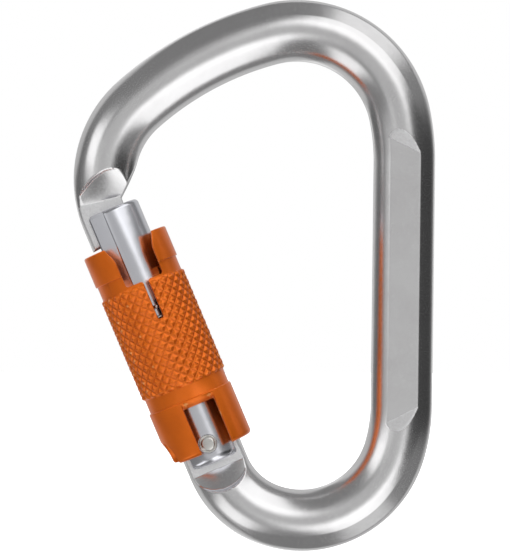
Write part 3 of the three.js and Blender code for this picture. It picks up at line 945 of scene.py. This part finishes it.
def worn_metal(name, colour, dull, roughness, grain, scratches):
    """A metal with a tumbled grain, a faint waviness, scratches and a little tarnish.

    Where the mesh is marked as forged, it is rougher, paler and coarser."""
    made = Nodes(name)
    tarnish = made.noise(0.12, detail=3)
    fine = made.noise(grain, detail=5, roughness=0.6)
    waves = made.noise(0.45, detail=2, roughness=0.4)
    coarse = made.noise(2.4, detail=6, roughness=0.75)
    lines = made.noise(2.2, detail=2, roughness=0.5, stretch=(1, 1, 0.06), rotation=(0.3, 0.5, 0.2))
    forged = made.add("ShaderNodeAttribute", attribute_name="forged").outputs["Fac"]
    base = made.mix(made.spread(tarnish, 0, 1, 0.35, 0.75), colour, dull)
    pitted = made.mix(made.spread(coarse, 0, 1), (0.97, 0.97, 0.98), (0.8, 0.795, 0.8))
    made.link(made.mix(forged, base, pitted), "Base Color")
    rough = made.spread(fine, roughness * 0.8, roughness * 1.2)
    made.link(made.add_up(rough, made.times(forged, FORGED_ROUGHNESS)), "Roughness")
    made.shader.inputs["Metallic"].default_value = 1
    first = made.bump(waves, 0.5, 0.03)
    second = made.bump(fine, 0.15, 0.012, first)
    third = made.bump(made.times(forged, coarse), 0.6, 0.05, second)
    made.link(made.bump(made.spread(lines, 0, 1, 0.62, 0.7), scratches, 0.01, third), "Normal")
    return made.material


def anodised(name):
    """Satin anodised aluminium, with a painted highlight making its edges paler and painted shade making its
    valleys darker.
    """
    made = Nodes(name)
    fine = made.noise(9, detail=5, roughness=0.6)
    cloud = made.noise(0.18, detail=3)
    edges = made.add("ShaderNodeNewGeometry").outputs["Pointiness"]
    # Painted highlight: pointed edges, such as the knurl's tips, are mixed towards a pale orange in the
    # colour.
    painted_highlight_edges = made.spread(edges, 0, 1, 0.53, 0.62)
    deep = made.mix(made.spread(cloud, 0, 1), (0.8, 0.158, 0.006), (0.72, 0.137, 0.005))
    # Painted shade: hollows, such as the knurl's grooves, are mixed towards a dark brown in the colour.
    painted_shade_hollows = made.spread(edges, 1, 0, 0.41, 0.49)
    shaded = made.mix(painted_shade_hollows, deep, (0.36, 0.062, 0.003))
    made.link(made.mix(painted_highlight_edges, shaded, (0.95, 0.38, 0.11)), "Base Color")
    made.link(made.spread(fine, 0.26, 0.38), "Roughness")
    made.shader.inputs["Metallic"].default_value = 0.65
    made.shader.inputs["Coat Weight"].default_value = 0.15
    made.shader.inputs["Coat Roughness"].default_value = 0.16
    made.link(made.bump(fine, 0.2, 0.01), "Normal")
    return made.material


def finish(piece, material, slot, body, *nodes):
    """Gives a piece its material and its body and hides the CAD nodes that it stands for; the slot is not
    used.
    """
    piece.data.materials.clear()
    piece.data.materials.append(material)
    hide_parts(*nodes)
    if body:
        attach(piece, body)
    return piece


# ---- Stage ------------------------------------------------------------------------------------------


FLOOR_HALF = 6
FLOOR_HEIGHT = -0.26
FLOOR_FADE = (0.3, 1.6)  # distances from the middle between which it fades to white


def build_stage():
    """A pale floor well below the hanging carabiner, which fades into the white backdrop."""
    made = Nodes("floor_paper")
    fibres = made.noise(0.02, detail=4)
    made.link(made.mix(made.spread(fibres, 0, 1), (0.86, 0.86, 0.86), (0.83, 0.83, 0.83)), "Base Color")
    made.shader.inputs["Roughness"].default_value = 0.8
    gap = made.add("ShaderNodeVectorMath", {0: made.place}, operation="LENGTH").outputs["Value"]
    far = made.spread(gap, 0, 1, FLOOR_FADE[0], FLOOR_FADE[1])
    made.shader.inputs["Emission Color"].default_value = (1, 1, 1, 1)
    made.link(made.mix(far, (0, 0, 0), (1, 1, 1)), "Emission Strength")
    mesh = bpy.data.meshes.new("floor")
    corners = [(-1, -1), (1, -1), (1, 1), (-1, 1)]
    mesh.from_pydata([(x * FLOOR_HALF, y * FLOOR_HALF, 0) for x, y in corners], [], [(0, 1, 2, 3)])
    mesh.materials.append(made.material)
    floor = bpy.data.objects.new("floor", mesh)
    floor.location = (0, 0, FLOOR_HEIGHT)
    bpy.context.scene.collection.objects.link(floor)
    floor.visible_glossy = False


CAMERA_DISTANCE = 0.6
CAMERA_SHIFT = (0.00011, -0.0002)  # right and up from the carabiner's middle
VIEW_SIZE = 0.11263  # the picture's longer side where the carabiner is
SENSOR_SIZE = 36


def build_camera():
    """A long lens in front, centred on the carabiner."""
    low, high = (np.array(corner) for corner in cad_box)
    middle = (low + high) / 2
    data = bpy.data.cameras.new("camera")
    data.sensor_width = SENSOR_SIZE
    data.lens = SENSOR_SIZE * CAMERA_DISTANCE / VIEW_SIZE
    data.clip_start = 0.01
    camera = bpy.data.objects.new("camera", data)
    camera.location = (middle[0] + CAMERA_SHIFT[0], -CAMERA_DISTANCE, middle[2] + CAMERA_SHIFT[1])
    camera.rotation_euler = (math.pi / 2, 0, 0)
    bpy.context.scene.collection.objects.link(camera)
    bpy.context.scene.camera = camera


# Soft boxes round the carabiner, in degrees. Tilt is the angle from the camera to a box's middle, and
# bearing is the way that it lies from the camera: 0 is right and 90 is up. Half length runs away from the
# camera, half width runs across, and strength is how bright it is. A black card has a negative strength.
SOFT_BOXES = [
    (56, 58, 40, 21, 1.0),
    (-57, 55, 38, 16, 1.05),
    (161, 58, 19, 10, 1.1),
    (234, 66, 24, 12, 0.95),
    (180, 50, 26, 8, 0.25),
    (90, 0, 18, 34, 0.28),
    (90, 28, 11, 20, 0.2),
    (-90, 28, 11, 20, 0.2),
    (0, 76, 56, 15, -0.17),
    (180, 125, 30, 24, -0.08),
    (60, 148, 24, 30, 0.36),
    (-60, 148, 24, 30, 0.36),
    (150, 140, 26, 20, 0.4),
    (225, 140, 26, 20, 0.4),
]
DARK_ROOM = 0.22
LEAST_SOFTNESS = 7  # degrees over which a box's edge fades
SOFTNESS_SHARE = 0.45


def build_world():
    """A dark studio with soft boxes, seen only in reflections; the camera sees a white backdrop."""
    world = bpy.data.worlds.new("studio")
    bpy.context.scene.world = world
    world.use_nodes = True
    tree = world.node_tree
    tree.nodes.clear()

    def add(kind, **inputs):
        node = tree.nodes.new(kind)
        for key, value in inputs.items():
            if isinstance(value, bpy.types.NodeSocket):
                tree.links.new(value, node.inputs[key])
            else:
                node.inputs[key].default_value = value
        return node

    def dot(direction, vector):
        node = add("ShaderNodeVectorMath")
        node.operation = "DOT_PRODUCT"
        tree.links.new(direction, node.inputs[0])
        node.inputs[1].default_value = vector
        return node.outputs["Value"]

    def math_node(operation, *values):
        node = add("ShaderNodeMath")
        node.operation = operation
        for i, value in enumerate(values):
            if isinstance(value, bpy.types.NodeSocket):
                tree.links.new(value, node.inputs[i])
            else:
                node.inputs[i].default_value = value
        return node.outputs[0]

    direction = add("ShaderNodeTexCoord").outputs["Generated"]
    total = DARK_ROOM
    for bearing, tilt, half_length, half_width, strength in SOFT_BOXES:
        b, t = math.radians(bearing), math.radians(tilt)
        middle = Vector((math.sin(t) * math.cos(b), -math.cos(t), math.sin(t) * math.sin(b)))
        away = Vector((math.cos(t) * math.cos(b), math.sin(t), math.cos(t) * math.sin(b)))
        forward = dot(direction, middle)
        share = None
        for vector, half in ((away, half_length), (away.cross(middle), half_width)):
            turn = math_node("ABSOLUTE", math_node("ARCTAN2", dot(direction, vector), forward))
            soft = max(LEAST_SOFTNESS, SOFTNESS_SHARE * half)
            edge = add("ShaderNodeMapRange")
            edge.interpolation_type = "SMOOTHSTEP"
            tree.links.new(turn, edge.inputs["Value"])
            edge.inputs["From Min"].default_value = math.radians(half + soft / 2)
            edge.inputs["From Max"].default_value = math.radians(half - soft / 2)
            value = edge.outputs["Result"]
            share = value if share is None else math_node("MULTIPLY", share, value)
        total = math_node("ADD", math_node("MULTIPLY", share, strength), total)
    studio = add("ShaderNodeBackground", Color=(1, 1, 1, 1))
    tree.links.new(total, studio.inputs["Strength"])
    backdrop = add("ShaderNodeBackground", Color=(1, 1, 1, 1), Strength=1)
    seen = add("ShaderNodeLightPath").outputs["Is Camera Ray"]
    both = add("ShaderNodeMixShader")
    tree.links.new(seen, both.inputs[0])
    tree.links.new(studio.outputs[0], both.inputs[1])
    tree.links.new(backdrop.outputs[0], both.inputs[2])
    output = add("ShaderNodeOutputWorld")
    tree.links.new(both.outputs[0], output.inputs["Surface"])


def build_lights():
    """Soft overhead light for the floor."""
    data = bpy.data.lights.new("overhead", "AREA")
    data.shape = "SQUARE"
    data.size = 0.9
    data.energy = 14
    lamp = bpy.data.objects.new("overhead", data)
    lamp.location = (-0.25, -0.35, 0.9)
    lamp.rotation_euler = Vector((0.25, 0.35, -0.95)).to_track_quat("-Z", "Y").to_euler()
    lamp.visible_glossy = False
    bpy.context.scene.collection.objects.link(lamp)


# ---- Assembly ---------------------------------------------------------------------------------------

build_camera()
build_world()
build_lights()
build_stage()
bpy.context.scene.view_settings.view_transform = "Standard"

body_metal = worn_metal("polished_bar", (0.83, 0.825, 0.83), (0.77, 0.76, 0.765), 0.24, 7, 0.2)
gate_metal = worn_metal("bright_rod", (0.8, 0.805, 0.85), (0.74, 0.745, 0.79), 0.22, 9, 0.12)
rivet_metal = worn_metal("rivet_steel", (0.74, 0.73, 0.7), (0.62, 0.6, 0.58), 0.3, 8, 0.2)
small_metal = worn_metal("small_steel", (0.6, 0.6, 0.6), (0.5, 0.48, 0.46), 0.3, 8, 0.2)
spring_metal = worn_metal("spring_wire", (0.62, 0.61, 0.6), (0.46, 0.44, 0.42), 0.25, 8, 0.2)
sleeve_metal = anodised("orange_anodised")

finish(bar_piece(), body_metal, "body_alloy", "frame", "body")
finish(rivet_piece(), rivet_metal, "rivet_steel", "frame", "hinge_rivet")
finish(gate_piece(), gate_metal, "gate_alloy", "gate", "gate")
finish(sleeve_piece(), sleeve_metal, "sleeve_anodised", "sleeve", "locking_sleeve")
finish(plunger_piece(), small_metal, "small_steel", "plunger", "gate_plunger")
finish(stop_pin_piece(), small_metal, "small_steel", "gate", "sleeve_stop_pin")
finish(ring_piece(), small_metal, "small_steel", "gate", "sleeve_retaining_ring")

torsion = finish(sleeve_spring_piece(), spring_metal, "spring_steel", None, "sleeve_spring")
closing = finish(gate_spring_piece(), spring_metal, "spring_steel", None, "gate_spring")


def on_gate(r, w):
    return tuple(from_gate([(r, 0, w)])[0] * MM)


on_gate(0, COIL_BOTTOM)
on_gate(0, COIL_TOP - 0.5)
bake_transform(torsion)
on_gate(PLUNGER_R, CLOSING_TOP - 0.1)
on_gate(PLUNGER_R, CLOSING_BOTTOM + 0.1)
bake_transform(closing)
